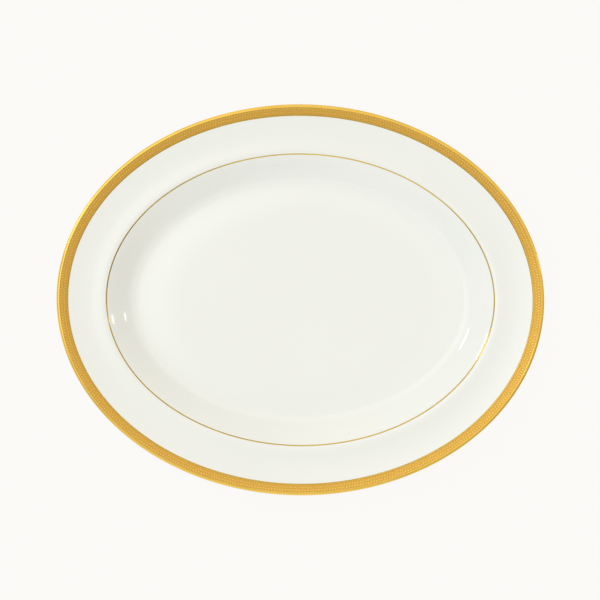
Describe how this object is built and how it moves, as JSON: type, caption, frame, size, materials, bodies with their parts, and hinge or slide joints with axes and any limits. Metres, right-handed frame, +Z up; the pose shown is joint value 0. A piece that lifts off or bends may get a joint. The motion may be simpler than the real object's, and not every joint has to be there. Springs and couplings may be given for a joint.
{
  "type": "serving platter",
  "caption": "Oval china serving platter with a broad rim and a recessed well, a polished gold edge, an etched gold band and a thin gold line round the well.",
  "frame": {"origin": "on the resting plane, under the middle of the oval", "axes": "+X along the platter's length, +Y across its width, +Z up out of the well"},
  "size_m": [0.406, 0.3256, 0.029],
  "materials": {
    "ivory_china": "polished",
    "polished_gold": "gloss",
    "etched_gold": "satin"
  },
  "bodies": {
    "root": {"china_body": "ivory_china", "gold_edge": "polished_gold", "etched_gold_band": "etched_gold", "gold_border_line": "polished_gold", "gold_verge_line": "polished_gold"}
  },
  "joints": []
}
